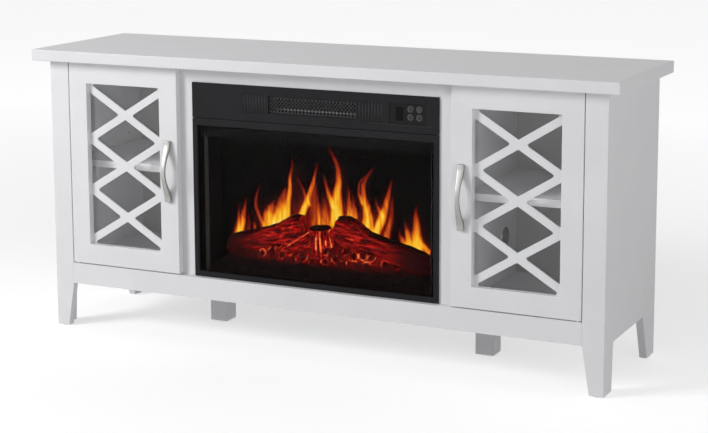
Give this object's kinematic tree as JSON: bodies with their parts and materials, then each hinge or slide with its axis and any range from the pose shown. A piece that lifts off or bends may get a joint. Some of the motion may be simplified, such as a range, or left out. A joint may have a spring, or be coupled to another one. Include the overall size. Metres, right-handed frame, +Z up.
{
  "type": "fireplace tv stand",
  "caption": "White media cabinet with an electric fireplace insert between two glazed fretwork doors, on tapered legs.",
  "frame": {"origin": "on the floor under the middle of the top board", "axes": "+X along the cabinet to the right seen from the front, +Y from the front to the back, +Z up"},
  "size_m": [1.36, 0.376, 0.635],
  "materials": {
    "white_paint": "satin white paint on board",
    "white_hardboard": "painted hardboard",
    "white_plastic": "matt white",
    "clear_plastic": "translucent",
    "clear_glass": "clear, polished",
    "satin_nickel": "satin nickel plate",
    "bright_steel": "zinc plated",
    "black_metal": "satin black powder coat",
    "black_plastic": "fine matt texture",
    "display_plastic": "smoked gloss",
    "log_resin": "moulded resin, lit from inside",
    "screen_plastic": "satin translucent screen",
    "circuit_laminate": "glass fibre board",
    "motor_steel": "bare laminations",
    "element_ceramic": "finned heating element"
  },
  "bodies": {
    "cabinet": {"top_board": "white_paint", "left_side_panel": "white_paint", "left_front_leg": "white_paint", "left_rear_leg": "white_paint", "left_divider": "white_paint", "left_surround_strip": "white_paint", "left_shelf": "white_paint", "left_centre_foot": "white_paint", "right_side_panel": "white_paint", "right_front_leg": "white_paint", "right_rear_leg": "white_paint", "right_divider": "white_paint", "right_surround_strip": "white_paint", "right_shelf": "white_paint", "right_centre_foot": "white_paint", "front_apron": "white_paint", "bottom_panel": "white_paint", "surround_top_rail": "white_paint", "rear_top_rail": "white_paint", "left_back_panel": "white_hardboard", "right_back_panel": "white_hardboard", "side_screw_caps": "white_plastic", "foot_glides": "white_plastic", "magnetic_catches": "white_plastic", "fire_glass": "clear_glass", "door_pivots": "bright_steel", "shelf_pegs": "bright_steel", "insert_window_frame": "black_metal", "heater_front": "black_metal", "outlet_mesh": "black_metal", "firebox_housing": "black_metal", "heater_housing": "black_metal", "control_panel": "black_plastic", "power_inlet": "black_plastic", "flicker_motor": "black_plastic", "display_window": "display_plastic", "log_set": "log_resin", "flame_screen": "screen_plastic", "light_board": "circuit_laminate", "circuit_board": "circuit_laminate", "blower_motor": "motor_steel", "heating_element": "element_ceramic"},
    "left_door": {"left_door_frame": "white_paint", "left_lattice": "white_paint", "left_door_glass": "clear_glass", "left_glass_clips": "clear_plastic", "left_strike_plate": "bright_steel", "left_handle": "satin_nickel"},
    "right_door": {"right_door_frame": "white_paint", "right_lattice": "white_paint", "right_door_glass": "clear_glass", "right_glass_clips": "clear_plastic", "right_strike_plate": "bright_steel", "right_handle": "satin_nickel"},
    "power_button": {"power_button": "black_plastic"},
    "flame_button": {"flame_button": "black_plastic"},
    "heat_button": {"heat_button": "black_plastic"},
    "timer_button": {"timer_button": "black_plastic"},
    "flicker_spindle": {"flicker_spindle": "bright_steel"},
    "blower_wheel": {"blower_wheel": "black_plastic"}
  },
  "joints": [
    {"name": "left_door_hinge", "type": "hinge", "parent": "cabinet", "child": "left_door", "pos_m": [-0.592, -0.154, 0.3795], "axis": [0, 0, -1], "range_deg": [0, 110]},
    {"name": "right_door_hinge", "type": "hinge", "parent": "cabinet", "child": "right_door", "pos_m": [0.592, -0.154, 0.3795], "axis": [0, 0, 1], "range_deg": [0, 110]},
    {"name": "power_button_press", "type": "slide", "parent": "cabinet", "child": "power_button", "axis": [0, 1, 0], "range_m": [0, 0.0012], "stiffness_N_per_m": 500, "springref_m": -0.001},
    {"name": "flame_button_press", "type": "slide", "parent": "cabinet", "child": "flame_button", "axis": [0, 1, 0], "range_m": [0, 0.0012], "stiffness_N_per_m": 500, "springref_m": -0.001},
    {"name": "heat_button_press", "type": "slide", "parent": "cabinet", "child": "heat_button", "axis": [0, 1, 0], "range_m": [0, 0.0012], "stiffness_N_per_m": 500, "springref_m": -0.001},
    {"name": "timer_button_press", "type": "slide", "parent": "cabinet", "child": "timer_button", "axis": [0, 1, 0], "range_m": [0, 0.0012], "stiffness_N_per_m": 500, "springref_m": -0.001},
    {"name": "flicker_spindle_turn", "type": "hinge", "parent": "cabinet", "child": "flicker_spindle", "pos_m": [0, 0.001, 0.209], "axis": [1, 0, 0], "continuous": true},
    {"name": "blower_wheel_turn", "type": "hinge", "parent": "cabinet", "child": "blower_wheel", "pos_m": [0, -0.079, 0.531], "axis": [1, 0, 0], "continuous": true}
  ]
}
